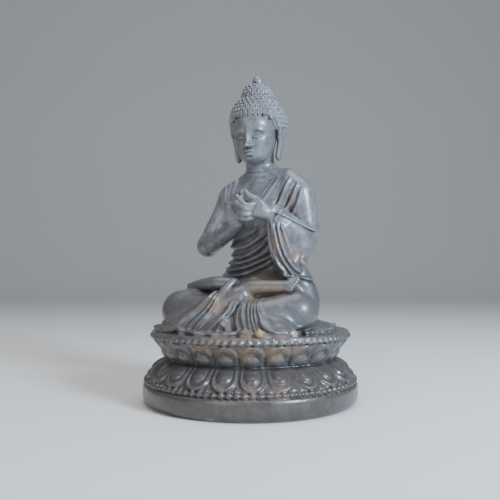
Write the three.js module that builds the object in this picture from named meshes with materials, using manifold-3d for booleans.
// A seated Buddha on a round double-lotus pedestal, cast in one piece, 300 mm tall.
//
// The figure sits cross-legged with both hands raised before the chest. The statue is
// described as a solid field: a function that gives, for any point, roughly how far it lies
// from the statue's skin, negative inside. Rounded limbs and ellipsoids are blended into one
// another, and folds, curls, petals and beads are raised or cut on them. The field's zero
// surface is then meshed and thinned out to a light closed mesh.
//
// Millimetres. +Z up, the figure faces -Y and its left hand is on +X. The origin is the
// centre of the pedestal's underside.

import * as THREE from "three";
import loadManifold from "manifold-3d";

// Driving dimensions
const HEIGHT = 300;
const PLINTH_RADIUS = 97;
const PLINTH_HEIGHT = 18.5;
const LOWER_PETAL_FOOT = 22.5;
const WAIST_RADIUS = 76;
const WAIST_HEIGHT = 39.5;
const UPPER_PETAL_TOP = 59;
const RIM_RADIUS = 89.5;
const SEAT_HEIGHT = 62.5;
const PETALS = 24;
const HEAD_TILT = THREE.MathUtils.degToRad(8);
const CURL_PITCH = 4.7;
const CELL = 1.25; // edge of a meshing cell
const TRIANGLES = 10300; // in the thinned mesh, before its underside is cut

// Small helpers

const clamp = (v, low, high) => Math.min(high, Math.max(low, v));
const mix = (a, b, t) => a + (b - a) * t;
const mirror = ([x, y, z]) => [-x, y, z];

// 0 below low, 1 above high, with a smooth rise between.
function ramp(v, low, high) {
  const t = clamp((v - low) / (high - low), 0, 1);
  return t * t * (3 - 2 * t);
}

// A dome-shaped bump: 1 at v = 0, falling smoothly to 0 at v = 1 and beyond.
const bump = (v) => (Math.abs(v) < 1 ? (1 - v * v) ** 2 : 0);

// The lesser of two distances, rounded off over a width k where they meet.
function blend(a, b, k) {
  const h = Math.max(k - Math.abs(a - b), 0) / k;
  return Math.min(a, b) - h * h * k * 0.25;
}

// Straight-line interpolation in a list of [place, value, value...] rows.
function along(rows, place) {
  let i = 0;
  while (i < rows.length - 2 && place > rows[i + 1][0]) i++;
  const [a, b] = [rows[i], rows[i + 1]];
  const t = clamp((place - a[0]) / (b[0] - a[0]), 0, 1);
  return a.slice(1).map((v, k) => mix(v, b[k + 1], t));
}

// Sculpting tools. Each returns a step { low, high, apply }: apply(d, x, y, z) takes the
// distance so far and gives the new one, and low and high are the corners of the only box
// in which the step can matter.

const REACH = 4; // how far past its own surface a step is still looked at

function boxAround(points, radius) {
  const low = [Infinity, Infinity, Infinity];
  const high = [-Infinity, -Infinity, -Infinity];
  points.forEach((p) =>
    p.forEach((v, k) => {
      low[k] = Math.min(low[k], v - radius);
      high[k] = Math.max(high[k], v + radius);
    }),
  );
  return { low, high };
}

// Points every so often along a smooth curve through the given ones, with their radii.
function smoothPath(points, radii, stepsPerSpan) {
  if (points.length === 2) return { places: points, sizes: radii };
  const curve = new THREE.CatmullRomCurve3(
    points.map((p) => new THREE.Vector3(...p)), false, "catmullrom", 0.5,
  );
  const count = (points.length - 1) * stepsPerSpan;
  const places = [];
  const sizes = [];
  for (let i = 0; i <= count; i++) {
    const t = i / count;
    places.push(curve.getPoint(t).toArray());
    const s = t * (radii.length - 1);
    const k = Math.min(Math.floor(s), radii.length - 2);
    sizes.push(mix(radii[k], radii[k + 1], s - k));
  }
  return { places, sizes };
}

// A function that gives the distance from a point to a path, less the path's radius there.
// A flat path is squeezed to 1 / flat of its radius along the unit vector normal.
function pathDistance({ places, sizes }, flat = 1, normal = [0, 0, 1]) {
  const spans = places.slice(1).map((b, i) => {
    const a = places[i];
    const ba = b.map((v, k) => v - a[k]);
    const length2 = ba.reduce((s, v) => s + v * v, 0);
    return [...a, ...ba, 1 / length2, sizes[i], sizes[i + 1] - sizes[i]];
  });
  const [nx, ny, nz] = normal;
  return (x, y, z) => {
    let least = Infinity;
    for (const [ax, ay, az, bx, by, bz, inverse, r, dr] of spans) {
      const px = x - ax;
      const py = y - ay;
      const pz = z - az;
      const t = clamp((px * bx + py * by + pz * bz) * inverse, 0, 1);
      let vx = px - bx * t;
      let vy = py - by * t;
      let vz = pz - bz * t;
      if (flat !== 1) {
        const across = (vx * nx + vy * ny + vz * nz) * (flat - 1);
        vx += across * nx;
        vy += across * ny;
        vz += across * nz;
      }
      const d = Math.sqrt(vx * vx + vy * vy + vz * vz) - r - dr * t;
      if (d < least) least = d;
    }
    return flat === 1 ? least : least / Math.sqrt(flat);
  };
}

// A rounded limb through the points, blended over k.
function limb(points, radii, k, { flat = 1, normal = [0, 0, 1], steps = 4 } = {}) {
  const path = smoothPath(points, radii, steps);
  const distance = pathDistance(path, flat, normal);
  return {
    ...boxAround(path.places, Math.max(...radii) + k + REACH),
    apply: (d, x, y, z) => blend(d, distance(x, y, z), k),
  };
}

function ellipsoidDistance([cx, cy, cz], [rx, ry, rz]) {
  return (x, y, z) => {
    const px = (x - cx) / rx;
    const py = (y - cy) / ry;
    const pz = (z - cz) / rz;
    const k0 = Math.sqrt(px * px + py * py + pz * pz);
    const k1 = Math.sqrt((px / rx) ** 2 + (py / ry) ** 2 + (pz / rz) ** 2);
    return k1 > 1e-9 ? (k0 * (k0 - 1)) / k1 : -Math.min(rx, ry, rz);
  };
}

// An ellipsoid blended over k.
function ellipsoid(centre, radii, k) {
  const distance = ellipsoidDistance(centre, radii);
  return {
    ...boxAround([centre], Math.max(...radii) + k + REACH),
    apply: (d, x, y, z) => blend(d, distance(x, y, z), k),
  };
}

// A ridge of the given height and half-width along a curve on the skin, or a groove where
// the height is negative. It fades out towards both ends.
function crease(points, width, height, steps = 4) {
  const path = smoothPath(points, points.map(() => 0), steps);
  const { places } = path;
  const spans = places.slice(1).map((b, i) => {
    const a = places[i];
    const ba = b.map((v, k) => v - a[k]);
    return [...a, ...ba, 1 / ba.reduce((s, v) => s + v * v, 0)];
  });
  const count = spans.length;
  return {
    ...boxAround(places, width * 2),
    apply: (d, x, y, z) => {
      let least = Infinity;
      let where = 0;
      for (let i = 0; i < count; i++) {
        const [ax, ay, az, bx, by, bz, inverse] = spans[i];
        const px = x - ax;
        const py = y - ay;
        const pz = z - az;
        const t = clamp((px * bx + py * by + pz * bz) * inverse, 0, 1);
        const d2 = (px - bx * t) ** 2 + (py - by * t) ** 2 + (pz - bz * t) ** 2;
        if (d2 < least) {
          least = d2;
          where = (i + t) / count;
        }
      }
      const fade = ramp(Math.min(where, 1 - where), 0, 0.18);
      return d - height * fade * bump(Math.sqrt(least) / (width * 2));
    },
  };
}

// Lines and cloth drawn on the front elevation: points are [x, z] pairs, and the tool works on
// whatever skin lies behind them, from y = front to y = back.

function frontDistance(points, steps) {
  const path = smoothPath(points.map(([x, z]) => [x, 0, z]), points.map(() => 0), steps);
  const spans = path.places.slice(1).map(([x, , z], i) => {
    const [ax, , az] = path.places[i];
    return [ax, az, x - ax, z - az, 1 / ((x - ax) ** 2 + (z - az) ** 2)];
  });
  const measure = (x, z) => {
    let least = Infinity;
    let where = 0;
    spans.forEach(([ax, az, bx, bz, inverse], i) => {
      const t = clamp(((x - ax) * bx + (z - az) * bz) * inverse, 0, 1);
      const d2 = (x - ax - bx * t) ** 2 + (z - az - bz * t) ** 2;
      if (d2 < least) {
        least = d2;
        where = (i + t) / spans.length;
      }
    });
    return [Math.sqrt(least), where];
  };
  return { measure, places: path.places };
}

// A fold of cloth: a ridge along a front-elevation curve, or a groove for a negative height.
function fold(points, width, height, { front = -100, back = 25, fade = 0.15 } = {}) {
  const { measure, places } = frontDistance(points, 4);
  const { low, high } = boxAround(places, width * 2);
  return {
    low: [low[0], front, low[2]],
    high: [high[0], back, high[2]],
    apply(d, x, y, z) {
      const [off, where] = measure(x, z);
      const ends = ramp(Math.min(where, 1 - where), 0, fade) * ramp(back - y, 0, 6);
      return d - height * ends * bump(off / (width * 2));
    },
  };
}

// Cloth that fans out from a gathered top, with folds that run from the top to the hem.
function fan({ top, left, right, thickness, folds, depth, front = -100, back = 0 }) {
  const angleTo = ([x, z]) => Math.atan2(x - top[0], top[1] - z);
  const [from, to] = [angleTo(left), angleTo(right)];
  const reach = Math.max(...[left, right].map(([x, z]) => Math.hypot(x - top[0], z - top[1])));
  return {
    low: [top[0] - reach - 4, front, top[1] - reach - 4],
    high: [top[0] + reach + 4, back, top[1] + 4],
    apply(d, x, y, z) {
      const t = (Math.atan2(x - top[0], top[1] - z) - from) / (to - from);
      const out = Math.hypot(x - top[0], z - top[1]);
      const inside = ramp(Math.min(t, 1 - t) * out * (to - from), -0.8, 0.8);
      const ends = ramp(out, -2, 3) * ramp(back - y, 0, 8);
      const wave = Math.cos(2 * Math.PI * folds * t) * ramp(out, 4, 20);
      return d - inside * ends * (thickness + depth * wave);
    },
  };
}

// The pedestal

// Radius of the plain turned pedestal at each height.
const PEDESTAL_PROFILE = [
  [-4, 92.5], [0, 92.5], [1.5, 94.5], [5, PLINTH_RADIUS - 0.4], [9, PLINTH_RADIUS], [15, PLINTH_RADIUS],
  [PLINTH_HEIGHT - 0.8, PLINTH_RADIUS - 0.8], [PLINTH_HEIGHT, 94], [22.5, 91], [27, 88.5],
  [33, 82], [37.5, 77], [WAIST_HEIGHT, WAIST_RADIUS - 1], [42, WAIST_RADIUS], [47, 79],
  [53, 83.2], [57, 85.6], [59.4, 86.6], [60.4, RIM_RADIUS - 1], [61.2, RIM_RADIUS],
  [SEAT_HEIGHT, RIM_RADIUS - 1.4],
];

// Relief of a lotus petal: a smooth boss near the waist inside raised rims. t runs from the
// waist (0) to the petal's tip (1) and side from -1 to 1 across it. bossLength is the boss's
// share of the petal, and rims places each rim as a share of the outline.
function petalRelief(t, side, { bossLength, bossWidth, height, rims }) {
  const outline = Math.hypot(side / 0.98, Math.max(0, t - 0.4) / 0.59);
  const boss = Math.hypot(side / bossWidth, (t - bossLength * 0.45) / (bossLength * 0.55));
  const dome = height * Math.sqrt(Math.max(0, 1 - boss * boss));
  const slab = 1.3 * ramp(1 - outline, 0, 0.08);
  const rim = Math.max(...rims.map((place) => bump((outline - place) / 0.12)));
  const leaf = outline > 1 ? 1.1 * bump((1 - Math.abs(side)) / 0.55) * ramp(t, 0.6, 0.85) : 0;
  return Math.max(slab * (1 + 1.1 * rim), dome + slab * 0.5, leaf);
}

const LOWER_PETAL = { bossLength: 0.66, bossWidth: 0.66, height: 4.4, rims: [0.77, 0.94] };
const UPPER_PETAL = { bossLength: 0.46, bossWidth: 0.58, height: 4, rims: [0.62, 0.79, 0.95] };

// A plain ring moulding, which stands for a row of small beads.
const ringDistance = (radius, height, size, rho, z) =>
  Math.hypot(rho - radius, z - height) - size;

const PEDESTAL = {
  low: [-110, -110, -5],
  high: [110, 110, SEAT_HEIGHT + REACH],
  apply(d, x, y, z) {
    const rho = Math.hypot(x, y);
    const angle = Math.atan2(x, -y);
    let [radius] = along(PEDESTAL_PROFILE, z);
    const turn = (angle * PETALS) / (2 * Math.PI) - 0.5;
    const side = (turn - Math.round(turn)) * 2;
    const down = (WAIST_HEIGHT - z) / (WAIST_HEIGHT - LOWER_PETAL_FOOT);
    const up = (z - WAIST_HEIGHT) / (UPPER_PETAL_TOP - WAIST_HEIGHT);
    if (down > 0 && down < 1) radius += petalRelief(down, side, LOWER_PETAL);
    if (up > 0 && up < 1) radius += petalRelief(up, side, UPPER_PETAL) * 0.9;
    const solid = Math.max((rho - radius) * 0.75, z - SEAT_HEIGHT);
    const lower = ringDistance(93.4, 20.3, 1.7, rho, z);
    const upper = ringDistance(87, 59.6, 1.5, rho, z);
    return Math.min(d, solid, lower, upper);
  },
};

// The hem of the robe, spread over the seat in flat folds with a wavy edge. It lies thickest
// beside the knees.
const hem = {
  low: [-92, -92, SEAT_HEIGHT - 2],
  high: [92, 70, SEAT_HEIGHT + 14],
  apply(d, x, y, z) {
    const rho = Math.hypot(x, y);
    const angle = Math.atan2(x, -y);
    const edge = 80.5 + 2.6 * Math.sin(angle * 9 + 1) + 1.8 * Math.sin(angle * 17);
    const beside = bump((Math.abs(angle) - 1.2) / 0.6);
    const rise = 2.2 + 2.6 * beside * (x < 0 ? 1.2 : 0.6) + 1.2 * Math.sin(angle * 13 + rho * 0.12)
      + 0.8 * Math.sin(angle * 23);
    const top = SEAT_HEIGHT + rise + clamp((74 - rho) * 0.3, -4, 5);
    const solid = Math.max((rho - edge) * 0.8, (z - top) * 0.8);
    return blend(d, solid, 2);
  },
};

// The figure's body

// Half-width, half-depth and middle of the trunk at each height.
const TRUNK = [
  [60, 48, 36, 16], [88, 43, 31, 18], [100, 38.5, 27, 19.5], [110, 34, 25, 19.5],
  [120, 29.5, 23, 20], [131, 26, 19.8, 21.5], [145, 28.5, 19.5, 22.5], [163, 34, 21.5, 23],
  [178, 35.5, 20.5, 24.5], [192, 31, 17, 26], [200, 22, 14, 27], [206, 16, 12, 27.5],
];

const trunk = {
  low: [-60, -40, 55],
  high: [60, 75, 215],
  apply(d, x, y, z) {
    const [a, b, middle] = along(TRUNK, z);
    const px = x / a;
    const py = (y - middle) / b;
    const k0 = Math.hypot(px, py);
    const k1 = Math.hypot(px / a, py / b);
    const round = k1 > 1e-9 ? (k0 * (k0 - 1)) / k1 : -b;
    return blend(d, Math.max(round * 0.85, 60 - z, z - 206), 6);
  },
};

const shoulderRight = [-30.3, 25.5, 186];
const elbowRight = [-48.8, 12.5, 141.2];
const wristRight = [-4, -17, 160];
const shoulderLeft = [41.5, 24, 189];
const elbowLeft = [48, 10, 142.5];
const wristLeft = [27.5, -19, 166.5];

const body = [
  trunk,
  limb([shoulderRight, [0, 27, 191], [31, 26, 190]], [13.5, 13, 13], 8),
  limb([[0, 28, 196], [0, 27, 212], [0, 22, 234]], [15.5, 13.6, 14], 7),
  limb([[-11, 28, 203], [-28, 27, 193]], [8.5, 9.5], 7),
  limb([shoulderRight, [-40.3, 20, 165], elbowRight], [13.5, 11.2, 10.3], 5),
  limb([elbowRight, [-29, -3, 148.5], wristRight], [10.3, 8.8, 5.4], 2),
];

// Legs, crossed with each foot on the other thigh

const kneeRight = [-52, -33, 80.5];
const kneeLeft = [53, -33, 81];
const legs = [
  limb([[-20, 14, 86], [-37, -8, 84], kneeRight], [22, 20, 17.8], 7),
  limb([[20, 14, 86], [37, -8, 84], kneeLeft], [22, 20, 18], 7),
  limb([kneeRight, [-26, -47, 80], [3, -49, 91], [15, -43, 100]], [17, 14.5, 10, 7.2], 5),
  limb([kneeLeft, [28, -50, 77], [0, -50, 74]], [17.5, 15.5, 12], 6),
  ellipsoid([0, -40, 68], [50, 34, 18], 6),
];

const feet = [
  limb([[11, -42, 101], [20, -43, 102.5], [34, -42.5, 103], [48, -40, 103.5]],
    [7.4, 7.6, 6.4, 5.4], 2, { flat: 1.25, normal: [0, -0.5, 0.87] }),
  limb([[-8, -24, 103.5], [-22, -26, 103.5], [-36, -25, 102.5], [-46, -23, 101]],
    [7.2, 7.2, 6, 5], 2, { flat: 1.25, normal: [0, -0.5, 0.87] }),
];
for (let i = 0; i < 5; i++) {
  const spread = i - 1.6;
  const size = 2.9 - i * 0.28;
  const length = 5.5 - i * 0.7;
  feet.push(
    limb([[50, -39 - spread * 1.9, 104.5 - spread * 1.8],
      [50 + length, -38 - spread * 2.1, 105.5 - spread * 2.1]], [size, size * 0.9], 0.8),
    limb([[-48, -22 - spread * 1.9, 101 - spread * 1.2],
      [-48 - length, -20 - spread * 2.1, 100 - spread * 1.4]], [size, size * 0.9], 0.8),
  );
}

// Hands

const handRight = [
  limb([wristRight, [-7, -20, 167], [-9, -20.5, 175]], [5.4, 7, 8.2], 2,
    { flat: 2, normal: [0.35, -0.93, 0] }),
  limb([[-15.2, -19.5, 176], [-16.4, -22.5, 183], [-16, -24.5, 189]], [2.3, 2.1, 1.8], 0.8),
  limb([[-11.4, -20.5, 178], [-12.6, -24, 187], [-12, -26.5, 194.5]], [2.4, 2.2, 1.9], 0.8),
  limb([[-7.2, -21, 178.5], [-8, -25, 188], [-7.2, -27.5, 197]], [2.5, 2.2, 1.9], 0.8),
  limb([[-3.4, -21, 177.5], [-1.6, -26, 185.5], [2.2, -30, 187.5]], [2.4, 2.2, 1.9], 0.8),
  limb([[-1.5, -20, 167], [2.6, -25, 174], [3.4, -29.5, 182.5]], [3, 2.6, 2.1], 1),
];

const handLeft = [
  limb([wristLeft, [22, -24, 170], [16, -27.5, 173]], [6.2, 7.8, 8.6], 2,
    { flat: 1.7, normal: [-0.35, -0.8, 0.45] }),
  limb([[13, -28, 166], [6, -34, 165], [2, -33, 170]], [2.8, 2.6, 2.1], 0.8),
  limb([[12, -29.5, 170], [4.4, -35.5, 170], [0.6, -34, 175.5]], [2.9, 2.6, 2.1], 0.8),
  limb([[12.5, -30, 174], [5.6, -36, 175.5], [2, -35.5, 181.5]], [2.8, 2.5, 2.1], 0.8),
  limb([[14.5, -29.5, 177.5], [10, -33.5, 182.5], [4.6, -32.5, 186]], [2.7, 2.4, 2], 0.8),
  limb([[22, -26, 176.5], [16.5, -30, 181.5], [9, -32, 186]], [3.2, 2.9, 2.3], 1),
];

// Robe over the left shoulder and arm

const robe = [
  limb([[9, 28, 205], [27, 26.5, 198.5], shoulderLeft], [11, 12.6, 12.6], 6),
  limb([shoulderLeft, [44.5, 22, 174], [48, 19, 156]], [12.5, 12.2, 12.4], 3),
  limb([elbowLeft, [38, -5, 154], [30, -16, 164]], [12.2, 11, 8], 3),
  limb([[33, -15, 157], [36, -12, 138], [39.5, -9, 118]], [6.5, 8.5, 6.6], 4),
  limb([[44.5, 4, 146], [44.5, 4, 133], [41, -1, 120]], [11, 11, 8], 5),
  limb([[37, 20, 150], [36, 22, 128], [40.5, 25, 107], [45.5, 28, 89], [45, 28, 70]],
    [11, 9.6, 12.4, 13, 12], 6),
  limb([[-28, 28, 112], [-36, 28, 92], [-46, 26, 68]], [9, 13, 12], 8),
  limb([[0, 32, 112], [0, 42, 86], [0, 44, 68]], [18, 20, 20], 10),
];

// Folds of the robe

const folds = [
  // wrapped round the belly
  ...[
    [[-26, 136], [-12, 129], [6, 132], [26, 151]],
    [[-27, 129], [-12, 122], [6, 125], [28, 143]],
    [[-29, 122.5], [-12, 115.5], [8, 118], [29, 134]],
    [[-32, 116.5], [-12, 109.5], [10, 111.5], [29, 124]],
    [[-36, 111], [-12, 104.5], [12, 106], [29, 114]],
  ].map((line) => fold(line, 1.9, 2.4, { back: 30 })),
  // edge of the robe across the chest
  fold([[25, 208], [17, 190], [8, 170]], 1.2, 1.2),
  fold([[29, 207], [21, 189], [12, 169]], 1.2, 1.2),
  // over the shoulder and upper arm
  fold([[35, 203], [33, 187], [30, 168]], 1.8, 1.4),
  fold([[42, 196], [40, 180], [36, 164]], 1.8, 1.4),
  // hem of the shoulder cloth
  fold([[33, 161], [46, 157], [56, 153], [64, 150]], 1.6, 1.6, { back: 40 }),
  // hanging sleeve
  ...[0, 1, 2, 3].map((i) => fold(
    [[30 + i * 5, 158 - i], [31 + i * 5, 138 - i * 3], [34 + i * 4, 116 + i * 2]], 1.5, 1.9,
    { back: 5 })),
];

const lapCloth = [
  fan({ top: [-12, 107], left: [-60, 64], right: [10, 62], thickness: 1.8, folds: 5,
    depth: 1, back: -25 }),
  fan({ top: [27, 98], left: [20, 62], right: [70, 64], thickness: 1.6, folds: 5, depth: 1,
    back: -40 }),
];

// Head. Its parts are placed as if it were upright; the whole head is then bowed.

const HEAD = [0, 21, 256.8];
const skull = [26.4, 28, 26];
const face = { centre: [0, 11.5, 246], radii: [20, 21, 26] };

// The front of the face at a place across and up.
function onFace(x, z, lift = 0) {
  const { centre, radii } = face;
  const inside = 1 - (x / radii[0]) ** 2 - ((z - centre[2]) / radii[2]) ** 2;
  return [x, centre[1] - radii[1] * Math.sqrt(Math.max(inside, 0.02)) - lift, z];
}

const bothSides = (makeStep) => [-1, 1].map(makeStep);

const features = [
  ellipsoid(face.centre, face.radii, 3),
  ellipsoid([0, 1, 227.5], [12.5, 10, 8], 6),
  ellipsoid([0, -5.5, 223.5], [5, 4, 4], 3),
  ...bothSides((s) => crease([[s * 3, 249], [s * 9, 252], [s * 15.5, 248.5]]
    .map(([x, z]) => onFace(x, z)), 1.2, 0.9)),
  ...bothSides((s) => crease([[s * 4, 246], [s * 9, 246.4], [s * 14.5, 245.4]]
    .map(([x, z]) => onFace(x, z)), 2.2, -1.7)),
  ...bothSides((s) => ellipsoid(onFace(s * 9, 244, -2.6), [5.2, 4, 3], 1)),
  limb([onFace(0, 248, -1), onFace(0, 242, 1.6), onFace(0, 237.4, 3.6)], [1.8, 2, 2.6], 2),
  ...bothSides((s) => ellipsoid(onFace(s * 3.1, 236.6, 0.8), [2, 2.4, 1.9], 1)),
  limb([onFace(-5.2, 231.6, -0.8), onFace(0, 232.3, 1), onFace(5.2, 231.6, -0.8)],
    [0.8, 1.3, 0.8], 1),
  limb([onFace(-4.2, 230, -0.8), onFace(0, 229.2, 0.9), onFace(4.2, 230, -0.8)],
    [0.8, 1.5, 0.8], 1),
];

const ears = bothSides((s) => limb(
  [[s * 23.2, 18, 252], [s * 23.6, 20, 245], [s * 21.8, 18, 234], [s * 20, 16.5, 224.5]],
  [4.4, 5.2, 4.4, 4], 1.2, { flat: 1.5, normal: [1, 0, 0] },
));

// Snail-shell curls, set in staggered rings round the skull and up the crown.
const crown = { centre: [-0.8, 27, 282], radii: [14.2, 14.5, 13] };
const CURL_RADIUS = 2.5;

function ringsOf(centre, radii, from, to, stagger) {
  const count = Math.round(((to - from) * radii[2]) / (CURL_PITCH * 0.86));
  return Array.from({ length: count + 1 }, (_, i) => {
    const angle = mix(from, to, i / count);
    const [a, b] = [radii[0] * Math.cos(angle), radii[1] * Math.cos(angle)];
    return {
      z: centre[2] + radii[2] * Math.sin(angle), y: centre[1], a, b,
      number: Math.max(4, Math.round((Math.PI * (a + b)) / CURL_PITCH)),
      shift: ((i + stagger) % 2) / 2,
    };
  });
}

const hair = {
  low: [-36, -16, 225],
  high: [36, 62, 312],
  rings: [
    ...ringsOf(HEAD, skull, -0.9, 0.93, 0),
    ...ringsOf(crown.centre, crown.radii, 0.05, 1.25, 1),
  ],
  cap: ellipsoidDistance(HEAD, skull),
  crown: ellipsoidDistance(crown.centre, crown.radii),
  knob: ellipsoidDistance([-0.8, 28, 297.2], [5.2, 5.2, 5]),
  apply(d, x, y, z) {
    const front = clamp((HEAD[1] - y) / skull[1], 0, 1);
    const edge = mix(238, 263.5, ramp(front, 0.2, 0.8));
    const cap = blend(this.cap(x, y, z), this.crown(x, y, z), 5) + 0.4;
    let curls = Infinity;
    if (cap < 6) {
      for (const ring of this.rings) {
        if (Math.abs(z - ring.z) > 6) continue;
        const turn = (Math.atan2(x / ring.a, -(y - ring.y) / ring.b) / (2 * Math.PI))
          * ring.number - ring.shift;
        const angle = ((Math.round(turn) + ring.shift) / ring.number) * 2 * Math.PI;
        const cx = ring.a * Math.sin(angle);
        const cy = ring.y - ring.b * Math.cos(angle);
        curls = Math.min(curls, Math.hypot(x - cx, y - cy, z - ring.z) - CURL_RADIUS);
      }
    }
    const trimmed = Math.max(Math.min(cap, curls), (edge - z) * 0.8);
    return Math.min(blend(d, trimmed, 0.6), this.knob(x, y, z));
  },
};

// The head is bowed forward about a point in the skull.
const head = {
  low: [-38, -22, 203],
  high: [38, 66, 306],
  steps: [...features, hair, ...ears],
  apply(d, x, y, z) {
    const [, py, pz] = HEAD;
    const [c, s] = [Math.cos(HEAD_TILT), Math.sin(HEAD_TILT)];
    const v = (y - py) * c + (z - pz) * s + py;
    const w = -(y - py) * s + (z - pz) * c + pz;
    let result = d;
    for (const { low, high, apply } of this.steps) {
      if (x < low[0] || x > high[0] || v < low[1] || v > high[1] || w < low[2] || w > high[2])
        continue;
      result = apply.call(hair, result, x, v, w);
    }
    return result;
  },
};

const steps = [
  ...body, ...legs, ...robe, ...folds, ...feet, ...lapCloth, ...handRight, ...handLeft, head,
  hem, PEDESTAL,
];

// Meshing

function fieldAt(active, x, y, z) {
  let d = FAR;
  for (const step of active) {
    const { low, high } = step;
    if (x < low[0] || x > high[0] || y < low[1] || y > high[1] || z < low[2] || z > high[2])
      continue;
    d = step.apply(d, x, y, z);
  }
  return Math.max(d, -BELOW - z);
}

const FAR = 1e3;
const FILLED = 1e-3; // depth given to a filled corner
const BELOW = 3; // depth of material under the underside, cut off later
const BLOCK = 8; // cells along the edge of a block that is filled in one go

// A grid of field values. Blocks that the surface can't reach are filled with one value.
function sampleGrid(low, high, cell) {
  const size = [0, 1, 2].map((k) => Math.ceil((high[k] - low[k]) / cell) + 1);
  const [nx, ny, nz] = size;
  const values = new Float32Array(nx * ny * nz).fill(FAR);
  const edge = BLOCK * cell;
  for (let bk = 0; bk < nz; bk += BLOCK)
    for (let bj = 0; bj < ny; bj += BLOCK)
      for (let bi = 0; bi < nx; bi += BLOCK) {
        const origin = [bi, bj, bk].map((v, k) => low[k] + v * cell);
        const active = steps.filter((s) => origin.every(
          (v, k) => s.low[k] <= v + edge && s.high[k] >= v));
        if (!active.length) continue;
        const middle = fieldAt(active, ...origin.map((v) => v + edge / 2));
        const far = Math.abs(middle) > edge * 1.5;
        for (let k = bk; k < Math.min(bk + BLOCK, nz); k++)
          for (let j = bj; j < Math.min(bj + BLOCK, ny); j++)
            for (let i = bi; i < Math.min(bi + BLOCK, nx); i++)
              values[i + nx * (j + ny * k)] = far ? middle
                : fieldAt(active, low[0] + i * cell, low[1] + j * cell, low[2] + k * cell);
      }
  return { low, cell, size, values, strides: [1, nx, nx * ny] };
}

// Where the corners of a grid face lie inside and outside crosswise, the surface would touch
// itself there, so the outer corner nearest to the surface is filled until no such face is left.
function uncross({ size: [nx, ny, nz], values, strides }) {
  let changed = true;
  while (changed) {
    changed = false;
    for (const [a, b] of [[0, 1], [0, 2], [1, 2]]) {
      const [p, q] = [strides[a], strides[b]];
      const end = [nx, ny, nz].map((n, k) => (k === a || k === b ? n - 1 : n));
      for (let k = 0; k < end[2]; k++)
        for (let j = 0; j < end[1]; j++)
          for (let i = 0; i < end[0]; i++) {
            const at = i + strides[1] * j + strides[2] * k;
            const one = values[at] < 0;
            if (one !== values[at + p + q] < 0) continue;
            const other = values[at + p] < 0;
            if (other === one || other !== values[at + q] < 0) continue;
            const [c, e] = one ? [at + p, at + q] : [at, at + p + q];
            values[values[c] < values[e] ? c : e] = -FILLED;
            changed = true;
          }
    }
  }
}

const CORNERS = Array.from({ length: 8 }, (_, c) => [c & 1, (c >> 1) & 1, c >> 2]);
const EDGES = CORNERS.flatMap((_, a) =>
  [1, 2, 4].filter((bit) => !(a & bit)).map((bit) => [a, a | bit]));

// The zero surface of a grid as triangles, with one vertex in each cell that it crosses.
function surfaceNet({ low, cell, size: [nx, ny, nz], values, strides }) {
  const offsets = CORNERS.map((c) => c[0] * strides[0] + c[1] * strides[1] + c[2] * strides[2]);
  const vertexOf = new Map();
  const vertices = [];
  for (let k = 0; k < nz - 1; k++)
    for (let j = 0; j < ny - 1; j++)
      for (let i = 0; i < nx - 1; i++) {
        const at = i + strides[1] * j + strides[2] * k;
        let inside = 0;
        for (const offset of offsets) if (values[at + offset] < 0) inside++;
        if (inside === 0 || inside === 8) continue;
        const sum = [0, 0, 0];
        let count = 0;
        for (const [a, b] of EDGES) {
          const [va, vb] = [values[at + offsets[a]], values[at + offsets[b]]];
          if (va < 0 === vb < 0) continue;
          const t = va / (va - vb);
          for (let m = 0; m < 3; m++) sum[m] += mix(CORNERS[a][m], CORNERS[b][m], t);
          count++;
        }
        vertexOf.set(at, vertices.length / 3);
        [i, j, k].forEach((v, m) => vertices.push(low[m] + (v + sum[m] / count) * cell));
      }
  const faces = [];
  for (let k = 1; k < nz - 1; k++)
    for (let j = 1; j < ny - 1; j++)
      for (let i = 1; i < nx - 1; i++) {
        const at = i + strides[1] * j + strides[2] * k;
        const here = values[at] < 0;
        for (let axis = 0; axis < 3; axis++) {
          if (here === values[at + strides[axis]] < 0) continue;
          const p = strides[(axis + 1) % 3];
          const q = strides[(axis + 2) % 3];
          const [a, b, c, e] = [at - p - q, at - q, at, at - p].map((v) => vertexOf.get(v));
          if (here) faces.push(a, b, c, a, c, e);
          else faces.push(a, c, b, a, e, c);
        }
      }
  return { vertices, faces };
}

// Thinning out. Each vertex carries the sum of the squared distances to the planes of its
// faces, and the edge whose collapse adds least to that sum goes first.

class EdgeQueue {
  items = [];
  push(item) {
    const { items } = this;
    let i = items.push(item) - 1;
    while (i > 0) {
      const parent = (i - 1) >> 1;
      if (items[parent].cost <= item.cost) break;
      items[i] = items[parent];
      i = parent;
    }
    items[i] = item;
  }
  pop() {
    const { items } = this;
    const top = items[0];
    const item = items.pop();
    if (!items.length) return top;
    let i = 0;
    for (;;) {
      let child = 2 * i + 1;
      if (child >= items.length) break;
      if (child + 1 < items.length && items[child + 1].cost < items[child].cost) child++;
      if (items[child].cost >= item.cost) break;
      items[i] = items[child];
      i = child;
    }
    items[i] = item;
    return top;
  }
}

const STIFFNESS = 2e-3; // how strongly a vertex keeps its place within its own surface

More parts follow.
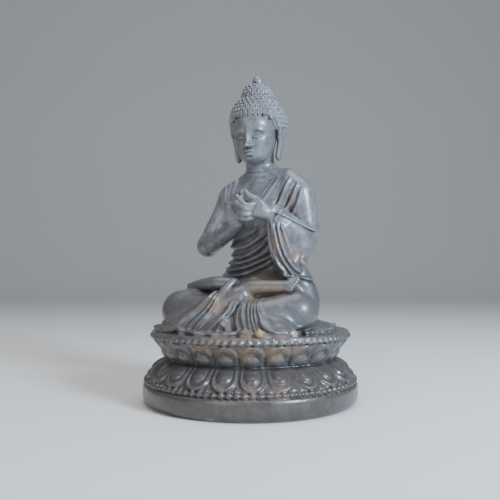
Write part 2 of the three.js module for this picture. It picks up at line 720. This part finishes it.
class ThinnedMesh {
  constructor({ vertices, faces }, importance) {
    this.points = vertices;
    this.count = vertices.length / 3;
    this.alive = faces.length / 3;
    this.faces = faces;
    this.around = Array.from({ length: this.count }, () => []);
    this.quadrics = new Float64Array(this.count * 10);
    this.version = new Int32Array(this.count);
    this.queue = new EdgeQueue();
    for (let f = 0; f < this.alive; f++) {
      const corners = [0, 1, 2].map((k) => faces[3 * f + k]);
      const [nx, ny, nz, area] = this.normal(...corners.map((v) => this.place(v)));
      corners.forEach((v) => {
        this.around[v].push(f);
        const [x, y, z] = this.place(v);
        const weight = area * importance(x, y, z);
        this.addPlane(v, [nx, ny, nz, -(nx * x + ny * y + nz * z)], weight);
        const hold = weight * STIFFNESS;
        this.addPlane(v, [1, 0, 0, -x], hold);
        this.addPlane(v, [0, 1, 0, -y], hold);
        this.addPlane(v, [0, 0, 1, -z], hold);
      });
    }
    for (let v = 0; v < this.count; v++)
      for (const w of this.neighbours(v)) if (v < w) this.consider(v, w);
  }

  place(v) {
    return [this.points[3 * v], this.points[3 * v + 1], this.points[3 * v + 2]];
  }

  // Unit normal and area of the triangle through three places.
  normal(a, b, c) {
    const [ux, uy, uz] = [b[0] - a[0], b[1] - a[1], b[2] - a[2]];
    const [vx, vy, vz] = [c[0] - a[0], c[1] - a[1], c[2] - a[2]];
    const [x, y, z] = [uy * vz - uz * vy, uz * vx - ux * vz, ux * vy - uy * vx];
    const length = Math.hypot(x, y, z) || 1e-12;
    return [x / length, y / length, z / length, length / 2];
  }

  addPlane(v, plane, weight) {
    let at = v * 10;
    for (let i = 0; i < 4; i++)
      for (let j = i; j < 4; j++) this.quadrics[at++] += weight * plane[i] * plane[j];
  }

  neighbours(v) {
    const found = new Set();
    for (const f of this.around[v])
      for (let k = 0; k < 3; k++) found.add(this.faces[3 * f + k]);
    found.delete(v);
    return found;
  }

  // Queues the collapse of one edge with the best place for the vertex that is left.
  consider(v, w) {
    const q = Array.from({ length: 10 }, (_, i) =>
      this.quadrics[v * 10 + i] + this.quadrics[w * 10 + i]);
    const [a, b, c, d, e, f, g, h, i, j] = q;
    const determinant = a * (e * h - f * f) - b * (b * h - c * f) + c * (b * f - c * e);
    const x = -(d * (e * h - f * f) - b * (g * h - f * i) + c * (g * f - e * i)) / determinant;
    const y = -(a * (g * h - i * f) - d * (b * h - c * f) + c * (b * i - c * g)) / determinant;
    const z = -(a * (e * i - f * g) - b * (b * i - g * c) + d * (b * f - e * c)) / determinant;
    const cost = a * x * x + 2 * b * x * y + 2 * c * x * z + 2 * d * x + e * y * y
      + 2 * f * y * z + 2 * g * y + h * z * z + 2 * i * z + j;
    if (!Number.isFinite(cost)) return;
    const stamp = this.version[v] + this.version[w];
    this.queue.push({ cost, v, w, place: [x, y, z], stamp });
  }

  // Whether the collapse keeps the surface whole and turns none of its faces over.
  sound(v, w, place) {
    const near = this.neighbours(v);
    let shared = 0;
    for (const u of this.neighbours(w)) if (near.has(u)) shared++;
    if (shared !== 2) return false;
    for (const centre of [v, w])
      for (const f of this.around[centre]) {
        const corners = [0, 1, 2].map((k) => this.faces[3 * f + k]);
        if (corners.includes(v) && corners.includes(w)) continue;
        const before = this.normal(...corners.map((u) => this.place(u)));
        const after = this.normal(...corners.map((u) => (u === centre ? place : this.place(u))));
        const turn = before[0] * after[0] + before[1] * after[1] + before[2] * after[2];
        if (turn < 0.35 || after[3] < 1e-3) return false;
      }
    return true;
  }

  collapse(v, w, place) {
    place.forEach((value, k) => { this.points[3 * v + k] = value; });
    for (let i = 0; i < 10; i++) this.quadrics[v * 10 + i] += this.quadrics[w * 10 + i];
    for (const f of this.around[w]) {
      const corners = [0, 1, 2].map((k) => this.faces[3 * f + k]);
      if (corners.includes(v)) {
        corners.forEach((u) => {
          this.around[u] = this.around[u].filter((other) => other !== f);
        });
        this.faces[3 * f] = -1;
        this.alive--;
      } else {
        this.faces[3 * f + corners.indexOf(w)] = v;
        this.around[v].push(f);
      }
    }
    this.around[w] = [];
    this.version[v]++;
    this.version[w] = -this.count * 1e3;
    for (const u of this.neighbours(v)) this.consider(v, u);
  }

  thinTo(target) {
    while (this.alive > target && this.queue.items.length) {
      const { v, w, place, stamp } = this.queue.pop();
      if (stamp !== this.version[v] + this.version[w]) continue;
      if (this.sound(v, w, place)) this.collapse(v, w, place);
    }
    const used = new Map();
    const points = [];
    const index = [];
    for (let f = 0; f < this.faces.length; f += 3) {
      if (this.faces[f] < 0) continue;
      for (let k = 0; k < 3; k++) {
        const v = this.faces[f + k];
        if (!used.has(v)) {
          used.set(v, used.size);
          points.push(...this.place(v));
        }
        index.push(used.get(v));
      }
    }
    return { vertices: points, faces: index };
  }
}

// The head, the hands and the round plinth keep more of their faces than the rest.
function importance(x, y, z) {
  if (z > 208) return y < 12 && z < 262 ? 7 : 2;
  if (z < 18) return 4;
  return y < -12 && z > 158 ? 4 : 1;
}

function statueGeometry() {
  const grid = sampleGrid([-103, -103, -2 * BELOW], [103, 103, HEIGHT + 6], CELL);
  uncross(grid);
  const { vertices, faces } = new ThinnedMesh(surfaceNet(grid), importance).thinTo(TRIANGLES);
  const mesh = new manifold.Mesh({
    numProp: 3,
    vertProperties: Float32Array.from(vertices),
    triVerts: Uint32Array.from(faces),
  });
  const cut = new manifold.Manifold(mesh).trimByPlane([0, 0, 1], 0).getMesh();
  const geometry = new THREE.BufferGeometry();
  geometry.setAttribute("position", new THREE.BufferAttribute(cut.vertProperties, 3));
  geometry.setIndex(new THREE.BufferAttribute(cut.triVerts, 1));
  return geometry;
}

const castResin = () => new THREE.MeshStandardMaterial({
  color: 0x6a6e74, roughness: 0.5, metalness: 0,
});

const manifold = await loadManifold();
manifold.setup();

const statue = new THREE.Mesh(statueGeometry(), castResin());
statue.name = "seated_buddha_statue";
const group = new THREE.Group();
group.add(statue);

export default group;
